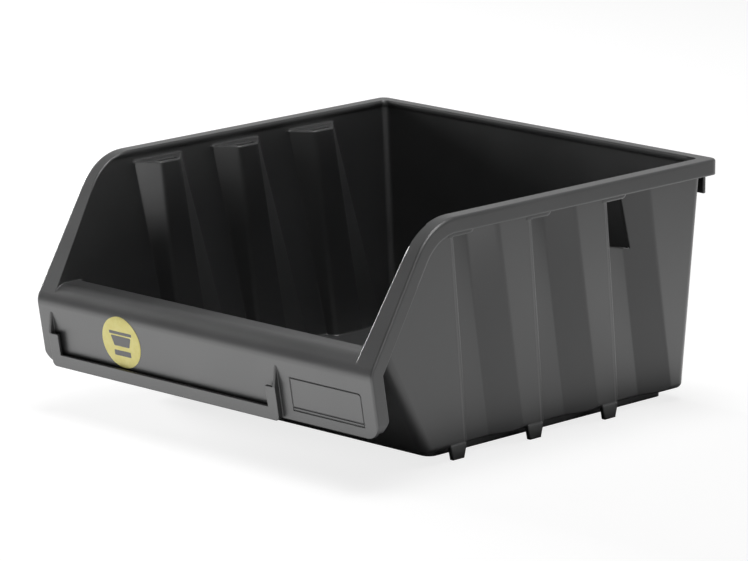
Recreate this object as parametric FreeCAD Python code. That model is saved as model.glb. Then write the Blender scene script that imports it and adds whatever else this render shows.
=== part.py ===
import FreeCAD, Part

import math
import os

# Open-front stacking tote, moulded in one piece, with a round sticker on its front panel.
# Millimetres. X runs to the right as the front is faced, Y from front to back, Z up.
# The outline is drawn with Y = 0 at the un-rounded top edge of the front panel, and the
# finished solids are moved so that the origin lies under the middle of the bin.

# Overall sizes
WIDTH = 375.0
LENGTH = 400.0
HEIGHT = 200.0
WALL = 2.5
PLATE = 3.0                    # rim plate, front panel and floor
BASE_Z = 9.0                   # underside of the floor above the ground

# Side view of the rim: level, then a bend, a slope, a roll and the leaning front panel
SLOPE_TOP_Y = 65.5             # un-rounded corner between level rim and slope
PANEL_TOP_Z = 92.0             # un-rounded corner between slope and front panel
PANEL_BOTTOM_Z = 39.0
PANEL_LEAN = 10.2              # degrees, the foot of the panel stands back
BEND_RADIUS = 50.0
ROLL_RADIUS = 15.0
SKIRT_DEPTH = 12.5
SKIRT_END_RISE = 20.0          # height over which the skirt runs out at the panel's foot
RIM_CORNER_RADIUS = 8.0
RIM_EDGE_RADIUS = 2.0
PANEL_CORNER_RADIUS = 13.0
BEAD_HEIGHT = 4.6              # thicker band along the inner top edge
BEAD_DEPTH = 0.8

# Walls of the tub, outer skin
RIM_SIDE_REACH = 9.07          # how far the rim stands out past the walls at the top
RIM_BACK_REACH = 8.44
SIDE_TAPER = 0.074             # half width gained per mm of height
BACK_TAPER = 0.016
FRONT_AT_BASE = 85.0
FRONT_TAPER = 0.624            # the front wall leans forward by this per mm of height
CORNER_RADIUS = 8.0
BASE_EDGE_RADIUS = 5.0

# Three flutes in each side wall, inner skin, measured at the height of the shelf
SHELF_DROP = 10.0              # shelf below the rim
FLUTE_COUNT = 3
FLUTE_PITCH = 88.0
FLUTE_FIRST_Y = 97.5
FLUTE_DEPTH = 18.0
FLUTE_DEPTH_LOSS = 0.0546      # depth lost per mm below the shelf
FLUTE_STEPS = (0.0, 14.2, 34.5, 52.3)          # front edge, floor start, floor end, rear edge
FLUTE_LEANS = (0.175, 0.114, 0.18, 0.255)      # how far each runs back per mm below the shelf
FLUTE_RIDGE_RADIUS = 6.0       # ridges that stand into the bin
FLUTE_REAR_RADIUS = 7.0        # rear edge, outside

# Stacking features
FOOT_INSET = 1.0               # middle of the feet, inward of the wall at the base
FOOT_THICK = 3.4
FOOT_TOP_LENGTH = 17.0
FOOT_TIP_LENGTH = 12.5
SLOT_CLEARANCE = 0.8
SLOT_START = 15.0              # behind the front edge of its flute
SLOT_LENGTH = 20.5
GUARD_DROP = 8.5               # outer wall of each slot, below the shelf top
GUARD_LENGTH = 26.0
GUARD_LAP = 2.0                # guard sunk into the wall ahead of its flute
GUARD_CORNER_RADIUS = 5.0
RAIL_INSET = 13.9              # from the tub's walls at the base
RAIL_FRONT_INSET = 17.6
RAIL_BACK_INSET = 11.5
RAIL_BOTTOM_Z = 2.0
RAIL_THICK = 3.0
RAIL_CORNER_RADIUS = 8.0

# Hanging lip under the back rim
HANGER_INSET = 14.5            # from each end of the back rim
HANGER_DROP = 30.5

# Window in the rear flute of the right wall: (behind the flute's front edge, below the shelf)
WINDOW_CORNERS = ((3.5, 8.5), (10.0, 47.5), (48.5, 55.5), (36.5, 8.5))

# Label holder on the front panel, heights measured up the panel from its lower edge
HOLDER_LEFT_MARGIN = 14.5      # from the ends of the panel
HOLDER_RIGHT_MARGIN = 103.3
HOLDER_PROUD = 4.8
HOLDER_FACE = 2.2
HOLDER_SIDE = 2.4
HOLDER_BOTTOM = -1.2
HOLDER_RAIL_TOP = 9.5
HOLDER_LEDGE = 27.0
HOLDER_APEX = 43.8
HOLDER_UPRIGHT = 10.5
HOLDER_CORNER_RADIUS = 4.0

# Fine groove that frames the bare field right of the holder
FIELD_GAP = 12.5               # from the holder
FIELD_MARGIN = 13.9            # from the right end of the panel
FIELD_BOTTOM = 8.5
FIELD_TOP = 36.4
FIELD_CORNER_RADIUS = 3.0
GROOVE = 0.9
GROOVE_DEPTH = 0.7
SECOND_LINE_UP = 2.6

# Round sticker
STICKER_FROM_LEFT = 95.9
STICKER_UP = 31.2
STICKER_RADIUS = 21.6
STICKER_THICK = 0.25

# Follow from the sizes above
SHELF_Z = HEIGHT - SHELF_DROP
HOLDER_LEFT = HOLDER_LEFT_MARGIN - WIDTH / 2
HOLDER_RIGHT = WIDTH / 2 - HOLDER_RIGHT_MARGIN
FIELD_LEFT = HOLDER_RIGHT + FIELD_GAP
FIELD_RIGHT = WIDTH / 2 - FIELD_MARGIN
STICKER_X = STICKER_FROM_LEFT - WIDTH / 2

# Construction only
FAR = 80.0                     # how far cutting shapes reach past the bin
LAP = 1.0                      # how far a shape is sunk into the one it joins
FACETS = 3                     # flats that round each flute edge
FACET_LAP = 0.04               # how far the rounded rear edge starts outside the wall


def vec(x, y, z):
    return FreeCAD.Vector(x, y, z)


def side_x(z):
    return WIDTH / 2 - RIM_SIDE_REACH - SIDE_TAPER * (HEIGHT - z)


def front_y(z):
    return FRONT_AT_BASE - FRONT_TAPER * (z - BASE_Z)


def back_y(z):
    return LENGTH - RIM_BACK_REACH - BACK_TAPER * (HEIGHT - z)


def foot_x():
    """Middle of the feet and of the slots that take them."""
    return side_x(BASE_Z) - FOOT_INSET


def unit(a, b):
    """Unit direction from point a to point b, both (y, z)."""
    length = math.hypot(b[0] - a[0], b[1] - a[1])
    return (b[0] - a[0]) / length, (b[1] - a[1]) / length


def rounded_edges(points, radii, place):
    """Edges along a polyline whose inner corners are rounded; place turns (a, b) into a vector."""
    edges = []
    last = points[0]
    for i in range(1, len(points) - 1):
        before = unit(points[i - 1], points[i])
        after = unit(points[i], points[i + 1])
        turn = math.acos(max(-1.0, min(1.0, before[0] * after[0] + before[1] * after[1])))
        radius = radii[i - 1]
        if radius <= 0.0 or turn < 1e-6:
            edges.append(Part.makeLine(place(*last), place(*points[i])))
            last = points[i]
            continue
        reach = radius * math.tan(turn / 2)
        start = (points[i][0] - before[0] * reach, points[i][1] - before[1] * reach)
        end = (points[i][0] + after[0] * reach, points[i][1] + after[1] * reach)
        inward = unit((0.0, 0.0), (after[0] - before[0], after[1] - before[1]))
        lift = radius / math.cos(turn / 2) - radius
        middle = (points[i][0] + inward[0] * lift, points[i][1] + inward[1] * lift)
        edges.append(Part.makeLine(place(*last), place(*start)))
        edges.append(Part.Arc(place(*start), place(*middle), place(*end)).toShape())
        last = end
    edges.append(Part.makeLine(place(*last), place(*points[-1])))
    return edges


def facets(before, corner, after, radius):
    """Points along the arc that rounds a corner between two others, for walls that twist."""
    toward = unit(corner, before)
    away = unit(corner, after)
    half = math.acos(toward[0] * away[0] + toward[1] * away[1]) / 2
    bisector = unit((0.0, 0.0), (toward[0] + away[0], toward[1] + away[1]))
    centre = [corner[k] + bisector[k] * radius / math.sin(half) for k in (0, 1)]
    points = []
    for step in range(FACETS + 1):
        share = step / FACETS
        mid = [(1 - share) * toward[k] + share * away[k] for k in (0, 1)]
        edge = [corner[k] + mid[k] * radius / math.tan(half) for k in (0, 1)]
        ray = unit(centre, edge)
        points.append((centre[0] + ray[0] * radius, centre[1] + ray[1] * radius))
    return points


def prism_across(edges, half_width):
    """Solid whose side view is the closed loop of edges, drawn at x = -half_width."""
    face = Part.Face(Part.Wire(Part.__sortEdges__(edges)))
    return face.extrude(vec(2 * half_width, 0, 0))


def side_polygon(points, x0, x1):
    """Solid between x0 and x1 whose side view is the polygon of (y, z) points."""
    corners = [vec(x0, y, z) for y, z in points]
    face = Part.Face(Part.makePolygon(corners + corners[:1]))
    return face.extrude(vec(x1 - x0, 0, 0))


def edges_where(shape, test):
    return [edge for edge in shape.Edges if test(edge)]


def flat(corners):
    return Part.Face(Part.makePolygon(corners + corners[:1]))


def between(low, high):
    """Solid between two outlines with as many corners, anticlockwise; its sides are flat where they can be."""
    faces = [flat(low[::-1]), flat(high)]
    for i, corner in enumerate(low):
        quad = [corner, low[(i + 1) % len(low)], high[(i + 1) % len(low)], high[i]]
        normal = (quad[1] - quad[0]).cross(quad[2] - quad[0]).normalize()
        if abs(normal.dot(quad[3] - quad[0])) < 1e-6:
            faces.append(flat(quad))
        else:
            faces.append(Part.makeRuledSurface(Part.makeLine(*quad[:2]), Part.makeLine(quad[3], quad[2])))
    shell = Part.Shell(faces)
    shell.sewShape()
    solid = Part.Solid(shell)
    if solid.Volume < 0.0:
        solid.reverse()
    return solid


def tub_block(skin, z_low, z_high, front=None):
    """The tapered tub between two heights, its walls moved inward by skin; front squares its front off."""
    slant = math.hypot(1.0, FRONT_TAPER)
    outlines = []
    for z in (z_low, z_high):
        half = side_x(z) - skin
        fore = front_y(z) + skin * slant if front is None else front
        aft = back_y(z) - skin
        outlines.append([vec(-half, fore, z), vec(half, fore, z), vec(half, aft, z), vec(-half, aft, z)])
    block = between(*outlines)

    def upright(edge):
        rounded = front is None or edge.CenterOfMass.y > LENGTH / 2
        return edge.BoundBox.ZLength > 1.0 and rounded

    return block.makeFillet(CORNER_RADIUS - skin, edges_where(block, upright))


def fluted_tub(skin, z_low, z_high):
    """Tub block with its base edges rounded and its flutes taken out."""
    block = tub_block(skin, z_low, z_high)
    lowest = edges_where(block, lambda edge: edge.BoundBox.ZMax < z_low + 0.01)
    return block.makeFillet(BASE_EDGE_RADIUS - skin, lowest).cut(all_flutes(WALL - skin))


# Rim line in side view

def rim_corners(inset, tail=0.0, back=LENGTH):
    """Un-rounded corners of the rim line moved inward by inset, from the back to the panel's foot."""
    lean = math.radians(PANEL_LEAN)
    foot_y = (PANEL_TOP_Z - PANEL_BOTTOM_Z) * math.tan(lean)
    corners = [(back, HEIGHT), (SLOPE_TOP_Y, HEIGHT), (0.0, PANEL_TOP_Z), (foot_y, PANEL_BOTTOM_Z)]
    moved = []
    for i, (y, z) in enumerate(corners):
        before = unit(corners[max(i - 1, 0)], corners[max(i, 1)])
        after = unit(corners[min(i, 2)], corners[min(i + 1, 3)])
        normal_a = (before[1], -before[0])
        normal_b = (after[1], -after[0])
        scale = inset / (1.0 + normal_a[0] * normal_b[0] + normal_a[1] * normal_b[1])
        moved.append((y - (normal_a[0] + normal_b[0]) * scale, z - (normal_a[1] + normal_b[1]) * scale))
    down = unit(corners[2], corners[3])
    foot = moved[3]
    moved[3] = (foot[0] + down[0] * tail, foot[1] + down[1] * tail)
    return moved


def rim_edges(inset, half_width, tail=0.0, back=LENGTH):
    radii = [BEND_RADIUS - inset, ROLL_RADIUS - inset]
    return rounded_edges(rim_corners(inset, tail, back), radii, lambda y, z: vec(-half_width, y, z))


def rim_band(inset_a, inset_b, half_width, tail=0.0, back=LENGTH):
    """Band between two lines parallel to the rim line, extruded across the bin."""
    outer = rim_corners(inset_a, tail, back)
    inner = rim_corners(inset_b, tail, back)
    edges = rim_edges(inset_a, half_width, tail, back) + rim_edges(inset_b, half_width, tail, back)
    for a, b in ((outer[0], inner[0]), (outer[3], inner[3])):
        edges.append(Part.makeLine(vec(-half_width, *a), vec(-half_width, *b)))
    return prism_across(edges, half_width)


def make_rim():
    """Flange with a skirt all round and the front panel at its lower end."""
    half = WIDTH / 2
    blank = rim_band(0.0, SKIRT_DEPTH, half)

    def back_corner(edge):
        box = edge.BoundBox
        return box.YMin > LENGTH - 0.01 and box.ZLength > 1.0 and abs(edge.CenterOfMass.x) > half - 0.01

    blank = blank.makeFillet(RIM_CORNER_RADIUS, edges_where(blank, back_corner))

    skin = Part.Compound(rim_edges(0.0, half))

    def on_outline(edge):
        middle = edge.valueAt((edge.FirstParameter + edge.LastParameter) / 2)
        on_skin = Part.Vertex(-half, middle.y, middle.z).distToShape(skin)[0] < 0.01
        across = edge.BoundBox.XLength > WIDTH - 3 * RIM_CORNER_RADIUS
        return on_skin and not (across and middle.y < LENGTH - 1.0) and middle.z > PANEL_BOTTOM_Z + 0.1

    blank = blank.makeFillet(RIM_EDGE_RADIUS, edges_where(blank, on_outline))
    hollow = rim_band(PLATE, 2 * SKIRT_DEPTH, half - WALL, FAR, LENGTH - WALL)

    def hollow_corner(edge):
        box = edge.BoundBox
        return box.YMin > LENGTH - WALL - 0.01 and box.ZLength > 1.0

    hollow = hollow.makeFillet(RIM_CORNER_RADIUS - WALL, edges_where(hollow, hollow_corner))
    return blank.cut([hollow, panel_corner_waste(1), panel_corner_waste(-1), skirt_end_waste()])


def panel_corner_waste(side):
    """What the rounded lower corner of the front panel takes away."""
    half = WIDTH / 2
    radius = PANEL_CORNER_RADIUS
    low = PANEL_BOTTOM_Z - 1.0
    block = Part.makeBox(radius + 1, FAR, radius + 1, vec(half - radius, -FAR / 2, low))
    keep = Part.makeCylinder(radius, FAR, vec(half - radius, -FAR / 2, PANEL_BOTTOM_Z + radius), vec(0, 1, 0))
    waste = block.cut(keep)
    return waste if side > 0 else waste.mirror(vec(0, 0, 0), vec(1, 0, 0))


def skirt_end_waste():
    """Slanting cut that lets the side skirt run out at the foot of the panel."""
    plate_foot = rim_corners(PLATE)[3]
    skirt_foot = rim_corners(SKIRT_DEPTH)[3]
    behind = skirt_foot[0] + WALL
    points = [plate_foot, (behind, skirt_foot[1] + SKIRT_END_RISE), (behind, 0), (plate_foot[0], 0)]
    return side_polygon(points, -WIDTH, WIDTH)


# Flutes

def flute_lines(number, z):
    """Where a flute starts, its floor starts and ends, and it ends, from front to back at height z."""
    first = FLUTE_FIRST_Y + number * FLUTE_PITCH
    return [first + step + lean * (SHELF_Z - z) for step, lean in zip(FLUTE_STEPS, FLUTE_LEANS)]


def flute_section(number, z, skin):
    """Plan outline of one flute of the right wall at height z; skin is 0 inside, WALL outside."""
    start, floor_start, floor_end, end = flute_lines(number, z)
    depth = FLUTE_DEPTH - FLUTE_DEPTH_LOSS * (SHELF_Z - z)
    flush = side_x(z) - WALL
    front_run = floor_start - start
    back_run = end - floor_end
    front_shift = skin * (math.hypot(front_run, depth) - front_run) / depth
    back_shift = skin * (math.hypot(back_run, depth) - back_run) / depth
    skin_x = flush + skin
    far_x = skin_x + RIM_SIDE_REACH
    rear_corner = (skin_x, end - back_shift)
    rear_ridge = (skin_x - depth, floor_end - back_shift)
    front_ridge = (skin_x - depth, floor_start + front_shift)
    front_end = (far_x, start + front_shift - RIM_SIDE_REACH * front_run / depth)
    rear = facets((skin_x, rear_corner[1] + depth), rear_corner, rear_ridge, FLUTE_REAR_RADIUS - WALL + skin)
    rear[0] = (skin_x + FACET_LAP, rear[0][1])
    points = [(far_x, rear[0][1])] + rear
    points += facets(rear_corner, rear_ridge, front_ridge, FLUTE_RIDGE_RADIUS - skin)
    points += facets(rear_ridge, front_ridge, front_end, FLUTE_RIDGE_RADIUS - skin)
    return [vec(x, y, z) for x, y in points + [front_end]]


def flute(number, side, skin):
    """Solid of one flute, from under the floor to its shelf."""
    solid = between(flute_section(number, 0.0, skin), flute_section(number, SHELF_Z - skin, skin))
    return solid if side > 0 else solid.mirror(vec(0, 0, 0), vec(1, 0, 0))


def all_flutes(skin):
    return [flute(number, side, skin) for number in range(FLUTE_COUNT) for side in (1, -1)]


# Front lip, the middle part of the rim between the side walls

def roll_centre():
    """Centre of the roll between slope and panel, as (y, z)."""
    return rim_corners(ROLL_RADIUS)[2]


def lip_top():
    return roll_centre()[1] + ROLL_RADIUS


def make_lip():
    """Panel, roll and level top back to the inside of the front wall."""
    half = side_x(PANEL_TOP_Z) - LAP
    centre_y, centre_z = roll_centre()
    top = lip_top()
    corners = rim_corners(0.0)
    inner = rim_corners(PLATE)
    start = unit(corners[3], corners[2])
    normal = (-start[1], start[0])

    def on_roll(radius, angle_y, angle_z):
        return centre_y + radius * angle_y, centre_z + radius * angle_z

    def place(point):
        return vec(-half, *point)

    middle = unit((0, 0), (normal[0], normal[1] + 1.0))
    edges = []
    for radius, foot in ((ROLL_RADIUS, corners[3]), (ROLL_RADIUS - PLATE, inner[3])):
        low = on_roll(radius, *normal)
        edges.append(Part.makeLine(place(foot), place(low)))
        edges.append(Part.Arc(place(low), place(on_roll(radius, *middle)), place(on_roll(radius, 0, 1))).toShape())
    inside = WALL * math.hypot(1.0, FRONT_TAPER)
    run = [(centre_y, top), (front_y(top) + inside, top), (front_y(top - PLATE) + inside, top - PLATE),
           (centre_y, top - PLATE)]
    for a, b in zip(run, run[1:]):
        edges.append(Part.makeLine(place(a), place(b)))
    edges.append(Part.makeLine(place(corners[3]), place(inner[3])))
    return prism_across(edges, half)


def make_opening():
    """The space above the lip, ahead of the flutes and between the side walls."""
    centre_y, centre_z = roll_centre()
    top = lip_top()
    corners = rim_corners(0.0)
    slope = unit(corners[2], corners[1])
    normal = (-slope[1], slope[0])
    middle = unit((0, 0), (normal[0], normal[1] + 1.0))
    start = (centre_y + ROLL_RADIUS * normal[0], centre_z + ROLL_RADIUS * normal[1])
    bend = (centre_y + ROLL_RADIUS * middle[0], centre_z + ROLL_RADIUS * middle[1])
    half = WIDTH / 2

    def place(point):
        return vec(-half, *point)

    rear = FLUTE_FIRST_Y - WALL
    run = [(centre_y, top), (rear, top), (rear, HEIGHT + FAR), (-FAR, HEIGHT + FAR), (-FAR, top), start]
    edges = [Part.makeLine(place(a), place(b)) for a, b in zip(run, run[1:])]
    edges.append(Part.Arc(place(start), place(bend), place(run[0])).toShape())
    region = prism_across(edges, half)
    return region.common(tub_block(WALL, PANEL_BOTTOM_Z, HEIGHT - BEAD_HEIGHT, front=-FAR))


def make_cavity():
    """Everything inside the tub, with the flutes standing into it."""
    floor = BASE_Z + PLATE
    lower = fluted_tub(WALL, floor, HEIGHT - BEAD_HEIGHT)
    mouth = tub_block(WALL + BEAD_DEPTH, HEIGHT - BEAD_HEIGHT - LAP, HEIGHT + LAP, front=-FAR)
    return lower.fuse([make_opening(), mouth])


def under_rim():
    """Everything below the upper side of the rim plate."""
    half = WIDTH / 2
    line = rim_corners(PLATE / 2)
    run = [line[3], (line[3][0], -FAR), (LENGTH, -FAR), line[0]]
    edges = rim_edges(PLATE / 2, half)
    edges += [Part.makeLine(vec(-half, *a), vec(-half, *b)) for a, b in zip(run, run[1:])]
    return prism_across(edges, half)


def make_shell():
    """Outer skin of the tub up to the rim plate, and the side walls ahead of its leaning front."""
    outlines = []
    for z in (lip_top() - PLATE, HEIGHT):
        half = side_x(z)
        aft = FLUTE_FIRST_Y - WALL
        outlines.append([vec(-half, -FAR, z), vec(half, -FAR, z), vec(half, aft, z), vec(-half, aft, z)])
    return fluted_tub(0.0, BASE_Z, HEIGHT).fuse(between(*outlines)).common(under_rim())


# Stacking features

def make_foot(number, side):
    """Tab under the wall, just ahead of a flute."""
    rear = FLUTE_FIRST_Y + number * FLUTE_PITCH + FLUTE_LEANS[0] * (SHELF_Z - BASE_Z)
    slack = (FOOT_TOP_LENGTH - FOOT_TIP_LENGTH) / 2
    top_z = BASE_Z + PLATE
    points = [(rear - FOOT_TOP_LENGTH, top_z), (rear - FOOT_TOP_LENGTH, BASE_Z),
              (rear - FOOT_TOP_LENGTH + slack, 0), (rear - slack, 0), (rear, BASE_Z), (rear, top_z)]
    middle = side * foot_x()
    return side_polygon(points, middle - FOOT_THICK / 2, middle + FOOT_THICK / 2)


def make_slot(number, side):
    """Slot through the shelf that takes the foot of the bin above."""
    start = FLUTE_FIRST_Y + number * FLUTE_PITCH + SLOT_START
    width = FOOT_THICK + 2 * SLOT_CLEARANCE
    return Part.makeBox(width, SLOT_LENGTH, WALL + PLATE, vec(side * foot_x() - width / 2, start, SHELF_Z - WALL))


def make_guard(number, side):
    """Short outer wall that closes the upper end of a flute behind the skirt."""
    front = FLUTE_FIRST_Y + number * FLUTE_PITCH - GUARD_LAP
    rear = front + GUARD_LAP + GUARD_LENGTH
    low = SHELF_Z - GUARD_DROP
    outer = side_x(SHELF_Z - GUARD_DROP / 2)
    x = outer - WALL if side > 0 else -outer

    def place(y, z):
        return vec(x, y, z)

    points = [(front, SHELF_Z), (front, low), (rear, low), (rear, SHELF_Z), (front, SHELF_Z)]
    edges = rounded_edges(points, [0.0, GUARD_CORNER_RADIUS, 0.0], place)
    return Part.Face(Part.Wire(edges)).extrude(vec(WALL, 0, 0))


def make_rail():
    """Low rim under the floor that drops between the shelves of the bin below."""
    height = BASE_Z + LAP - RAIL_BOTTOM_Z

    def block(inset):
        half = side_x(BASE_Z) - RAIL_INSET - inset
        front = FRONT_AT_BASE + RAIL_FRONT_INSET + inset
        rear = back_y(BASE_Z) - RAIL_BACK_INSET - inset
        solid = Part.makeBox(2 * half, rear - front, height, vec(-half, front, RAIL_BOTTOM_Z))
        upright = edges_where(solid, lambda edge: edge.BoundBox.ZLength > height / 2)
        return solid.makeFillet(RAIL_CORNER_RADIUS - inset, upright)

    return block(0.0).cut(block(RAIL_THICK))


def make_hanger():
    half = WIDTH / 2 - HANGER_INSET
    return Part.makeBox(2 * half, WALL, HANGER_DROP - PLATE + LAP, vec(-half, LENGTH - WALL, HEIGHT - HANGER_DROP))


def make_window():
    first = FLUTE_FIRST_Y + (FLUTE_COUNT - 1) * FLUTE_PITCH
    points = [(first + behind, SHELF_Z - drop) for behind, drop in WINDOW_CORNERS]
    return side_polygon(points, side_x(BASE_Z) - 2 * FLUTE_DEPTH, side_x(HEIGHT))


# Details on the leaning front panel

def on_panel(shape):
    """Moves a shape drawn on an upright panel (front at y = 0, foot at z = 0) onto the leaning one."""
    foot = rim_corners(0.0)[3]
    shape.Placement = FreeCAD.Placement(vec(0, *foot), FreeCAD.Rotation(vec(1, 0, 0), PANEL_LEAN))
    return shape


def upright_box(left, right, bottom, top, proud_from, proud_to):
    return Part.makeBox(right - left, proud_to - proud_from, top - bottom, vec(left, -proud_to, bottom))


def make_holder():
    """U-shaped frame that takes a label from above."""
    face_back = HOLDER_PROUD - HOLDER_FACE
    rail = upright_box(HOLDER_LEFT, HOLDER_RIGHT, HOLDER_BOTTOM, HOLDER_RAIL_TOP, face_back, HOLDER_PROUD)
    ledge = upright_box(HOLDER_LEFT, HOLDER_RIGHT, HOLDER_BOTTOM, HOLDER_BOTTOM + HOLDER_SIDE, -LAP, HOLDER_PROUD)
    parts = [rail, ledge]
    for outer, inward in ((HOLDER_LEFT, 1), (HOLDER_RIGHT, -1)):
        near, far = sorted((outer, outer + inward * HOLDER_UPRIGHT))
        parts.append(upright_box(near, far, HOLDER_BOTTOM, HOLDER_LEDGE, face_back, HOLDER_PROUD))
        near, far = sorted((outer, outer + inward * HOLDER_SIDE))
        cheek = side_polygon([(LAP, HOLDER_BOTTOM), (-HOLDER_PROUD, HOLDER_BOTTOM), (-HOLDER_PROUD, HOLDER_LEDGE),
                              (0.0, HOLDER_APEX), (LAP, HOLDER_APEX)], near, far)
        parts.append(cheek)
    frame = parts[0].fuse(parts[1:]).removeSplitter()

    def outer_corner(edge):
        box = edge.BoundBox
        middle = edge.CenterOfMass
        at_side = min(abs(middle.x - HOLDER_LEFT), abs(middle.x - HOLDER_RIGHT)) < 0.01
        return at_side and abs(middle.z - HOLDER_BOTTOM) < 0.01 and box.YLength > HOLDER_PROUD / 2

    frame = frame.makeFillet(HOLDER_CORNER_RADIUS, edges_where(frame, outer_corner))
    return on_panel(frame)


def field_outline(inset):
    points = [(FIELD_LEFT + inset, FIELD_BOTTOM + inset), (FIELD_RIGHT - inset, FIELD_BOTTOM + inset),
              (FIELD_RIGHT - inset, FIELD_TOP - inset), (FIELD_LEFT + inset, FIELD_TOP - inset),
              (FIELD_LEFT + inset, FIELD_BOTTOM + inset)]
    radii = [0.0, FIELD_CORNER_RADIUS - inset, 0.0]
    edges = rounded_edges(points, radii, lambda x, z: vec(x, -LAP, z))
    return Part.Face(Part.Wire(edges)).extrude(vec(0, LAP + GROOVE_DEPTH, 0))


def make_groove():
    ring = field_outline(0.0).cut(field_outline(GROOVE))
    second = upright_box(FIELD_LEFT, FIELD_RIGHT, FIELD_BOTTOM + SECOND_LINE_UP,
                         FIELD_BOTTOM + SECOND_LINE_UP + GROOVE, -GROOVE_DEPTH, LAP)
    return on_panel(ring.fuse(second))


def make_sticker():
    """Thin disc laid on the panel; its upper edge follows the start of the roll."""
    punch = Part.makeCylinder(STICKER_RADIUS, 2 * ROLL_RADIUS, vec(STICKER_X, -ROLL_RADIUS, STICKER_UP), vec(0, 1, 0))
    return rim_band(-STICKER_THICK, 0.0, WIDTH / 2).common(on_panel(punch))


def make_body():
    pairs = [(number, side) for number in range(FLUTE_COUNT) for side in (1, -1)]
    outside = make_shell().fuse([make_rim(), make_lip()])
    body = outside.cut(make_cavity())
    added = [make_foot(*pair) for pair in pairs] + [make_guard(*pair) for pair in pairs]
    added += [make_rail(), make_hanger(), make_holder()]
    body = body.fuse(added)
    removed = [make_slot(*pair) for pair in pairs] + [make_window(), make_groove()]
    return body.cut(removed).removeSplitter()


def main():
    os.makedirs("parts", exist_ok=True)
    body = make_body()
    sticker = make_sticker()
    box = body.optimalBoundingBox()
    shift = vec(-box.Center.x, -box.Center.y, -box.ZMin)
    for name, shape in (("bin_body", body), ("round_sticker", sticker)):
        shape.translate(shift)
        solid = shape.Solids[0] if len(shape.Solids) == 1 else shape
        solid.exportStep("parts/" + name + ".step")


if __name__ == "__main__":
    main()
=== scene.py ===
import math

import bpy
from mathutils import Matrix, Vector


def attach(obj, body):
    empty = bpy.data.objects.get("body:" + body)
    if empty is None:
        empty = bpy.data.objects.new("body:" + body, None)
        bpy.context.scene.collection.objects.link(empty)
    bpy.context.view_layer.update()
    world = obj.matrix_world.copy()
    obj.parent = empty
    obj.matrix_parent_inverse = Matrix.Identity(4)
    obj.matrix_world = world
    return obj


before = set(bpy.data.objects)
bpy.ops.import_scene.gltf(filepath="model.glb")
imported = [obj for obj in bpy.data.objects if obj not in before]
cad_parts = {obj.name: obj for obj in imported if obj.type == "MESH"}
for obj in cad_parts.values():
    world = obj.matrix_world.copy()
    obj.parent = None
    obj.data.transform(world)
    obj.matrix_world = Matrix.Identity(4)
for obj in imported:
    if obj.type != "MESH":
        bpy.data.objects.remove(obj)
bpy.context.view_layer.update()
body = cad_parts["bin_body"]
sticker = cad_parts["round_sticker"]


# Places on the solids that the looks follow, metres. The origin is on the table, under the bin's middle.

FRONT = 0.200015                  # from the bin's front line to the origin
RIM_TOP = 0.200
RIM_BEND = 0.0655                 # behind the front line, where slope and level meet
RIM_SLOPE = 0.8545                # rise of the sloping rim for each metre to the back
RIM_LEVEL = 0.075                 # behind the front line, where the bend is over
RIM_BAND = 0.0095                 # height of what counts as the rim
ROLL_TOP = 0.096                  # top of the front panel's roll
RIM_INNER_RIGHT = 0.172
RIM_INNER_REACH = 0.0085
SIDE_WALL = 0.135                 # the side walls lie beyond this, left and right
PANEL_END = -0.15                 # and behind this

FLUTE_TOP = 0.190
FLUTE_FIRST = 0.0959              # behind the front line, front edge of the first flute at its top
FLUTE_PITCH = 0.088
FLUTE_ROW = 0.180
FLUTE_LEAN = 0.175                # way of the front edge to the back for each metre down
WALL_HALF = 0.1769                # half the width outside the side walls, at the rim's height
WALL_TAPER = 0.074                # loss of that for each metre down

PANEL_LEAN = math.radians(10.2)
PANEL_BEHIND = 0.009536           # behind the front line, foot of the panel's face
PANEL_UP = 0.039
PANEL_FOOT = Vector((0.0, PANEL_BEHIND - FRONT, PANEL_UP))
STICKER_X = -0.0916
STICKER_UP = 0.0312
STICKER_THICK = 0.00025


# Sizes of the looks, metres

ROUND_EDGE = 0.001
ROUND_WALL_MORE = 0.0012
ROUND_RIM = 0.0024
ROUND_LEVEL_MORE = 0.0011
# width of the painted highlight line along each flute's front edge, and the heights where it starts and ends
HIGHLIGHT_LINE_WIDTH = 0.0018
HIGHLIGHT_LINE_FOOT = 0.011
HIGHLIGHT_LINE_TOP = 0.181
INK_LIFT = 0.00004

COOL = 0.012                      # blue tint of the plastic
WHITE = (1.0, 1.0, 1.0, 1.0)


# Camera at the photograph's place

PHOTO_WIDTH = 748.0               # pixels
FOCAL_LENGTH = 5217.99            # pixels
SENSOR_WIDTH = 36.0               # millimetres
CAMERA_PLACE = (2.84753, -2.92564, 1.04432)
CAMERA_AZIMUTH = math.radians(44.267)
CAMERA_ELEVATION = math.radians(12.991)


def make_camera():
    data = bpy.data.cameras.new("camera")
    data.sensor_width = SENSOR_WIDTH
    data.lens = FOCAL_LENGTH / PHOTO_WIDTH * SENSOR_WIDTH
    data.clip_start = 0.1
    data.clip_end = 100.0
    camera = bpy.data.objects.new("camera", data)
    right = Vector((math.cos(CAMERA_AZIMUTH), math.sin(CAMERA_AZIMUTH), 0.0))
    away = Vector((-math.sin(CAMERA_AZIMUTH) * math.cos(CAMERA_ELEVATION),
                   math.cos(CAMERA_AZIMUTH) * math.cos(CAMERA_ELEVATION),
                   -math.sin(CAMERA_ELEVATION)))
    up = right.cross(away)
    turn = Matrix((right, up, -away)).transposed().to_4x4()
    camera.matrix_world = Matrix.Translation(CAMERA_PLACE) @ turn
    bpy.context.scene.collection.objects.link(camera)
    bpy.context.scene.camera = camera


# Node helpers

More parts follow.
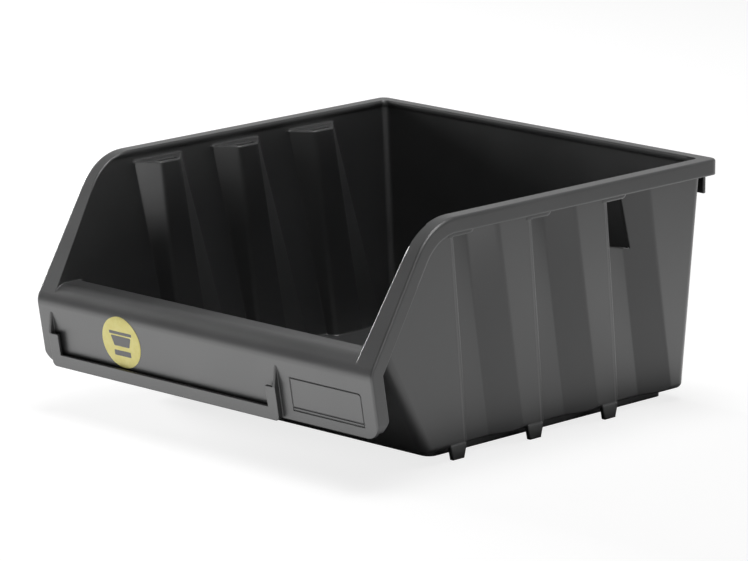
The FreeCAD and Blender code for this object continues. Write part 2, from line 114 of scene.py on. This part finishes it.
class Nodes:
    """Short way to build a node tree."""

    def __init__(self, tree):
        self.tree = tree

    def add(self, kind, settings=(), **inputs):
        node = self.tree.nodes.new(kind)
        for key, value in dict(settings).items():
            setattr(node, key, value)
        for key, value in inputs.items():
            self.put(node.inputs[key.replace("_", " ")], value)
        return node

    def put(self, socket, value):
        """Links a socket to another one, or sets its constant."""
        if isinstance(value, bpy.types.NodeSocket):
            self.tree.links.new(value, socket)
        else:
            socket.default_value = value

    def math(self, operation, *values):
        node = self.add("ShaderNodeMath", {"operation": operation})
        for socket, value in zip(node.inputs, values):
            self.put(socket, value)
        return node.outputs[0]

    def product(self, value, *factors):
        for factor in factors:
            value = self.math("MULTIPLY", value, factor)
        return value

    def inverse(self, mask):
        return self.math("SUBTRACT", 1.0, mask)

    def above(self, value, limit):
        """1 where the value is over the limit, else 0."""
        return self.math("GREATER_THAN", value, limit)

    def below(self, value, limit):
        return self.math("LESS_THAN", value, limit)

    def weighted(self, *parts):
        """Sum of masks, each times its level."""
        value = 0.0
        for mask, level in parts:
            value = self.math("MULTIPLY_ADD", mask, level, value)
        return value

    def ramp(self, value, low, high):
        """0 below low, 1 above high, smooth between."""
        node = self.add("ShaderNodeMapRange", {"interpolation_type": "SMOOTHSTEP"},
                        Value=value, From_Min=low, From_Max=high)
        return node.outputs[0]

    def place(self):
        return self.add("ShaderNodeTexCoord").outputs["Object"]

    def split(self, vector):
        return self.add("ShaderNodeSeparateXYZ", Vector=vector).outputs

    def noise(self, where, scale, detail=2.0, rough=0.5):
        node = self.add("ShaderNodeTexNoise", Vector=where, Scale=scale, Detail=detail, Roughness=rough)
        return node.outputs["Fac"]

    def specks(self, where, scale, radius, share):
        """Small round dots in a share of the cells of a random grid."""
        cells = self.add("ShaderNodeTexVoronoi", Vector=where, Scale=scale)
        dot = self.inverse(self.ramp(cells.outputs["Distance"], radius * 0.5, radius))
        colour = self.add("ShaderNodeSeparateColor", Color=cells.outputs["Color"])
        return self.product(dot, self.below(colour.outputs[0], share))

    def mix(self, factor, a, b):
        """Colour a where the factor is 0, colour b where it is 1."""
        node = self.add("ShaderNodeMix", {"data_type": "RGBA"})
        self.put(node.inputs[0], factor)
        self.put(node.inputs[6], a)
        self.put(node.inputs[7], b)
        return node.outputs[2]

    def blend(self, factor, a, b):
        """Shader a where the factor is 0, shader b where it is 1."""
        node = self.add("ShaderNodeMixShader")
        for socket, value in zip(node.inputs, (factor, a, b)):
            self.put(socket, value)
        return node.outputs[0]

    def in_view(self, path):
        """1 for rays from the camera, straight or through something clear."""
        return self.math("MAXIMUM", path.outputs["Is Camera Ray"], path.outputs["Is Transmission Ray"])


class Surface(Nodes):
    """Node tree of a new material."""

    def __init__(self, name):
        self.material = bpy.data.materials.new(name)
        self.material.use_nodes = True
        super().__init__(self.material.node_tree)
        self.shader = self.tree.nodes["Principled BSDF"]
        self.output = self.tree.nodes["Material Output"]

    def finish(self, **inputs):
        """Sets the shader's inputs and returns the material."""
        for key, value in inputs.items():
            self.put(self.shader.inputs[key.replace("_", " ")], value)
        return self.material


def grey(level, tint=0.0):
    return (level * (1.0 - tint), level, level * (1.0 + tint), 1.0)


# Conductive plastic: dark grey with a fine mould grain, dust specks, rounded edges and a painted highlight line
# along each flute's front edge

def edge_radius(n, where):
    """Rounding of the edges: more on the side walls, most on the rim, none at the right rim's inner edge."""
    x, y, z = n.split(where)
    along = n.math("ADD", y, FRONT)
    slope = n.math("ADD", n.product(n.math("SUBTRACT", along, RIM_BEND), RIM_SLOPE), RIM_TOP)
    line = n.math("MINIMUM", RIM_TOP, slope)
    rim = n.product(n.above(z, n.math("SUBTRACT", line, RIM_BAND)), n.above(z, ROLL_TOP))
    inner_right = n.below(n.math("ABSOLUTE", n.math("SUBTRACT", x, RIM_INNER_RIGHT)), RIM_INNER_REACH)
    wall = n.product(n.above(n.math("ABSOLUTE", x), SIDE_WALL), n.above(y, PANEL_END), n.inverse(rim))
    on_rim = n.math("MULTIPLY_ADD", n.above(along, RIM_LEVEL), ROUND_LEVEL_MORE, ROUND_RIM)
    on_wall = n.math("MULTIPLY_ADD", wall, ROUND_WALL_MORE, ROUND_EDGE)
    radius = n.math("MAXIMUM", on_wall, n.product(rim, on_rim))
    return n.product(radius, n.inverse(n.product(rim, inner_right)))


def painted_flute_highlight(n, where):
    """Painted highlight: thin lighter line along the front edge of each flute, on the outside of the side walls.
    """
    x, y, z = n.split(where)
    lean = n.product(n.math("SUBTRACT", FLUTE_TOP, z), FLUTE_LEAN)
    behind = n.math("ADD", n.math("SUBTRACT", y, lean), FRONT - FLUTE_FIRST)
    line = n.below(n.math("MODULO", behind, FLUTE_PITCH), HIGHLIGHT_LINE_WIDTH)
    in_row = n.product(n.above(behind, 0.0), n.below(behind, FLUTE_ROW))
    taper = n.product(n.math("SUBTRACT", RIM_TOP, z), WALL_TAPER)
    outside = n.above(n.math("ABSOLUTE", x), n.math("SUBTRACT", WALL_HALF, taper))
    return n.product(line, in_row, outside, n.below(z, HIGHLIGHT_LINE_TOP), n.above(z, HIGHLIGHT_LINE_FOOT))


def plastic():
    n = Surface("conductive_plastic")
    where = n.place()
    cloud = n.ramp(n.noise(where, scale=14.0, detail=3.0, rough=0.6), 0.3, 0.7)
    grain = n.noise(where, scale=2600.0, detail=1.0)
    pebble = n.noise(where, scale=900.0)
    pale = n.specks(where, scale=260.0, radius=0.10, share=0.16)
    dark = n.specks(n.add("ShaderNodeMapping", Vector=where, Scale=(1.3, 1.1, 1.2)).outputs["Vector"],
                    scale=300.0, radius=0.10, share=0.14)
    base = n.mix(cloud, grey(0.030, COOL), grey(0.035, COOL))
    layers = (
        (n.ramp(grain, 0.35, 0.65), 0.35, grey(0.026, COOL)),
        (pale, 0.35, grey(0.12)),
        (dark, 0.35, grey(0.008)),
        # painted highlight: a lighter line along each flute's front edge, standing in for the light that the edge
        # catches
        (painted_flute_highlight(n, where), 0.8, grey(0.09)),
    )
    for mask, share, tone in layers:
        base = n.mix(n.product(mask, share), base, tone)
    rough = n.math("MULTIPLY_ADD", cloud, 0.05, 0.34)
    soft = n.add("ShaderNodeBevel", {"samples": 8}, Radius=edge_radius(n, where))
    bump = n.add("ShaderNodeBump", Strength=0.25, Distance=0.00015,
                 Height=n.math("MULTIPLY_ADD", grain, 0.4, pebble), Normal=soft.outputs["Normal"])
    return n.finish(Base_Color=base, Roughness=rough, Specular_IOR_Level=0.5, Normal=bump.outputs["Normal"])


# Printed film of the sticker and its ink

def film():
    n = Surface("printed_film")
    where = n.place()
    cloud = n.ramp(n.noise(where, scale=120.0, detail=3.0, rough=0.6), 0.3, 0.7)
    base = n.mix(cloud, (0.70, 0.62, 0.17, 1.0), (0.76, 0.69, 0.24, 1.0))
    bump = n.add("ShaderNodeBump", Strength=0.15, Distance=0.0001, Height=n.noise(where, scale=700.0))
    return n.finish(Base_Color=base, Roughness=0.42, Specular_IOR_Level=0.4, Normal=bump.outputs["Normal"])


def ink():
    n = Surface("black_ink")
    cloud = n.noise(n.place(), scale=900.0)
    return n.finish(Base_Color=n.mix(cloud, grey(0.012), grey(0.024)), Roughness=0.4)


def on_sticker(x, up, lift):
    """Point on the sticker's face; x and up are measured from its centre."""
    along = Vector((0.0, -math.sin(PANEL_LEAN), math.cos(PANEL_LEAN)))
    out = Vector((0.0, -math.cos(PANEL_LEAN), -math.sin(PANEL_LEAN)))
    return (PANEL_FOOT + Vector((STICKER_X + x, 0.0, 0.0)) + along * (STICKER_UP + up)
            + out * (STICKER_THICK + lift))


def rounded(corners, radius, steps=6):
    """Outline with each corner turned into an arc."""
    points = []
    for i, corner in enumerate(corners):
        corner = Vector(corner)
        before = (Vector(corners[i - 1]) - corner).normalized()
        after = (Vector(corners[(i + 1) % len(corners)]) - corner).normalized()
        half = before.angle(after) / 2
        centre = corner + (before + after).normalized() * radius / math.sin(half)
        start = corner + before * radius / math.tan(half)
        end = corner + after * radius / math.tan(half)
        for k in range(steps + 1):
            mid = start.lerp(end, k / steps) - centre
            points.append(centre + mid.normalized() * radius)
    return points


def add_mesh(name, points, material):
    """One flat face through the points."""
    mesh = bpy.data.meshes.new(name)
    mesh.from_pydata([tuple(p) for p in points], [], [list(range(len(points)))])
    mesh.update()
    mesh.materials.append(material)
    piece = bpy.data.objects.new(name, mesh)
    bpy.context.scene.collection.objects.link(piece)
    return piece


# Outlines of the ink on the sticker, millimetres from its centre, each with the radius of its corners
INK_PATCHES = (
    ("ink_bin", [(-8.6, -3.4), (8.6, -3.4), (11.4, 5.2), (-11.4, 5.2)], 0.9),
    ("ink_rim", [(-12.8, 6.4), (12.8, 6.4), (12.8, 9.0), (-12.8, 9.0)], 0.7),
    ("ink_bar", [(-9.4, -11.6), (9.4, -11.6), (9.4, -7.0), (-9.4, -7.0)], 0.6),
)


def make_print():
    """Plain drawing of an open bin above a short bar."""
    material = ink()
    for name, corners, radius in INK_PATCHES:
        outline = rounded([(x / 1000, up / 1000) for x, up in corners], radius / 1000)
        piece = add_mesh(name, [on_sticker(p.x, p.y, INK_LIFT) for p in outline], material)
        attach(piece, "root")


# Surroundings: white to the camera, and made of parts that the gloss and the rest of the light see apart

SKY_BAND = (0.10, 0.55)           # height of the look upward where low turns into high
SKY_LEVELS = (0.03, 0.02)         # low and high
GLOSS_LEVELS = (0.75, 0.70)

# Softboxes that only the gloss sees: name, direction, angle of the core, angle of the edge, level
SOFTBOXES = (
    ("softbox_low", (0.80, -0.38, 0.42), 12.0, 26.0, 2.5),
    ("softbox_high", (0.58, 0.0, 0.81), 14.0, 28.0, 9.0),
)


def make_world():
    """White to the camera; to the object a dim sky, which its gloss sees brighter and with softboxes."""
    world = bpy.data.worlds.new("studio")
    bpy.context.scene.world = world
    world.use_nodes = True
    world.node_tree.nodes.clear()
    n = Nodes(world.node_tree)

    def light(name, level):
        node = n.add("ShaderNodeBackground", {"name": name}, Color=WHITE, Strength=level)
        return node.outputs[0]

    path = n.add("ShaderNodeLightPath")
    toward = n.add("ShaderNodeTexCoord").outputs["Generated"]
    high = n.ramp(n.split(toward)["Z"], *SKY_BAND)
    sky = n.blend(high, light("sky_low", SKY_LEVELS[0]), light("sky_high", SKY_LEVELS[1]))
    gloss = n.blend(high, light("gloss_low", GLOSS_LEVELS[0]), light("gloss_high", GLOSS_LEVELS[1]))
    for name, direction, core, edge, level in SOFTBOXES:
        facing = n.add("ShaderNodeVectorMath", {"operation": "DOT_PRODUCT"})
        n.put(facing.inputs[0], toward)
        n.put(facing.inputs[1], Vector(direction).normalized())
        spot = n.ramp(facing.outputs["Value"], math.cos(math.radians(edge)), math.cos(math.radians(core)))
        gloss = n.blend(spot, gloss, light(name, level))
    lit = n.blend(path.outputs["Is Glossy Ray"], sky, gloss)
    seen = n.blend(n.in_view(path), lit, light("backdrop", 1.0))
    n.add("ShaderNodeOutputWorld", Surface=seen)


# Table, metres

TABLE_HALF = 6.0
TABLE_Z = -0.0002
SHADE_MIDDLE = 0.005              # the table's glow leaves out a rectangle under the bin
SHADE_X = 0.165
SHADE_Y = 0.175
SHADE_EDGE = 0.08
NEAR = (0.15, 0.9)                # distances from that rectangle over which the near glow fades
AHEAD = (0.19, 0.25)              # distances before the origin over which the glow ahead comes in
BEHIND = (0.20, 0.30)
BEHIND_SIDE = (0.40, 0.50)


def make_floor():
    """White to the camera; to the object a pale table that glows around the bin and is dark under it."""
    mesh = bpy.data.meshes.new("floor")
    corners = [(x * TABLE_HALF, y * TABLE_HALF, TABLE_Z) for x, y in ((-1, -1), (1, -1), (1, 1), (-1, 1))]
    mesh.from_pydata(corners, [], [(0, 1, 2, 3)])
    floor = bpy.data.objects.new("floor", mesh)
    bpy.context.scene.collection.objects.link(floor)
    n = Surface("floor")
    n.tree.nodes.remove(n.shader)

    def light(name, level):
        node = n.add("ShaderNodeEmission", {"name": name}, Color=WHITE, Strength=level)
        return node.outputs[0]

    x, y, z = n.split(n.place())
    across = n.math("ABSOLUTE", x)
    along = n.math("ABSOLUTE", n.math("SUBTRACT", y, SHADE_MIDDLE))
    beside = n.math("MAXIMUM", n.math("SUBTRACT", across, SHADE_X), 0.0)
    beyond = n.math("MAXIMUM", n.math("SUBTRACT", along, SHADE_Y), 0.0)
    away = n.math("SQRT", n.math("ADD", n.product(beside, beside), n.product(beyond, beyond)))
    clear = n.ramp(away, 0.0, SHADE_EDGE)
    near = n.product(clear, n.inverse(n.ramp(away, *NEAR)))
    ahead = n.product(near, n.ramp(n.product(y, -1.0), *AHEAD))
    behind = n.product(near, n.ramp(y, *BEHIND), n.inverse(n.ramp(across, *BEHIND_SIDE)))
    for_gloss = n.weighted((clear, 0.90), (near, 0.60), (ahead, 1.5), (behind, 0.5))
    for_rest = n.weighted((clear, 0.05), (near, 0.2), (ahead, 1.0))

    path = n.add("ShaderNodeLightPath")
    glow = n.blend(path.outputs["Is Glossy Ray"], light("table_light", for_rest), light("table_gloss", for_gloss))
    glow = n.blend(n.in_view(path), glow, light("table_view", 0.80))
    both = n.add("ShaderNodeAddShader")
    n.put(both.inputs[0], n.add("ShaderNodeBsdfDiffuse", Color=grey(0.3)).outputs[0])
    n.put(both.inputs[1], glow)
    n.put(n.output.inputs["Surface"], both.outputs[0])
    mesh.materials.append(n.material)


# Lamps: name, place, width, height, watts
LAMPS = (
    ("left", (-2.2, 0.0, 0.6), 1.0, 0.6, 60.0),
    ("right_rear", (1.0, 2.1, 0.35), 1.0, 0.5, 4.0),
    ("top", (0.1, 0.1, 2.3), 1.0, 1.0, 30.0),
)
LAMP_TARGET = Vector((0.0, 0.0, 0.08))


def make_lamps():
    for name, place, width, height, power in LAMPS:
        data = bpy.data.lights.new(name, "AREA")
        data.shape = "RECTANGLE"
        data.size = width
        data.size_y = height
        data.energy = power
        lamp = bpy.data.objects.new(name, data)
        lamp.location = place
        lamp.rotation_mode = "QUATERNION"
        lamp.rotation_quaternion = (LAMP_TARGET - Vector(place)).to_track_quat("-Z", "Y")
        lamp.visible_camera = False
        bpy.context.scene.collection.objects.link(lamp)


bpy.context.scene.view_settings.view_transform = "Standard"
make_camera()
make_world()
make_floor()
make_lamps()

for piece, material in ((body, plastic()), (sticker, film())):
    piece.data.materials.clear()
    piece.data.materials.append(material)
make_print()
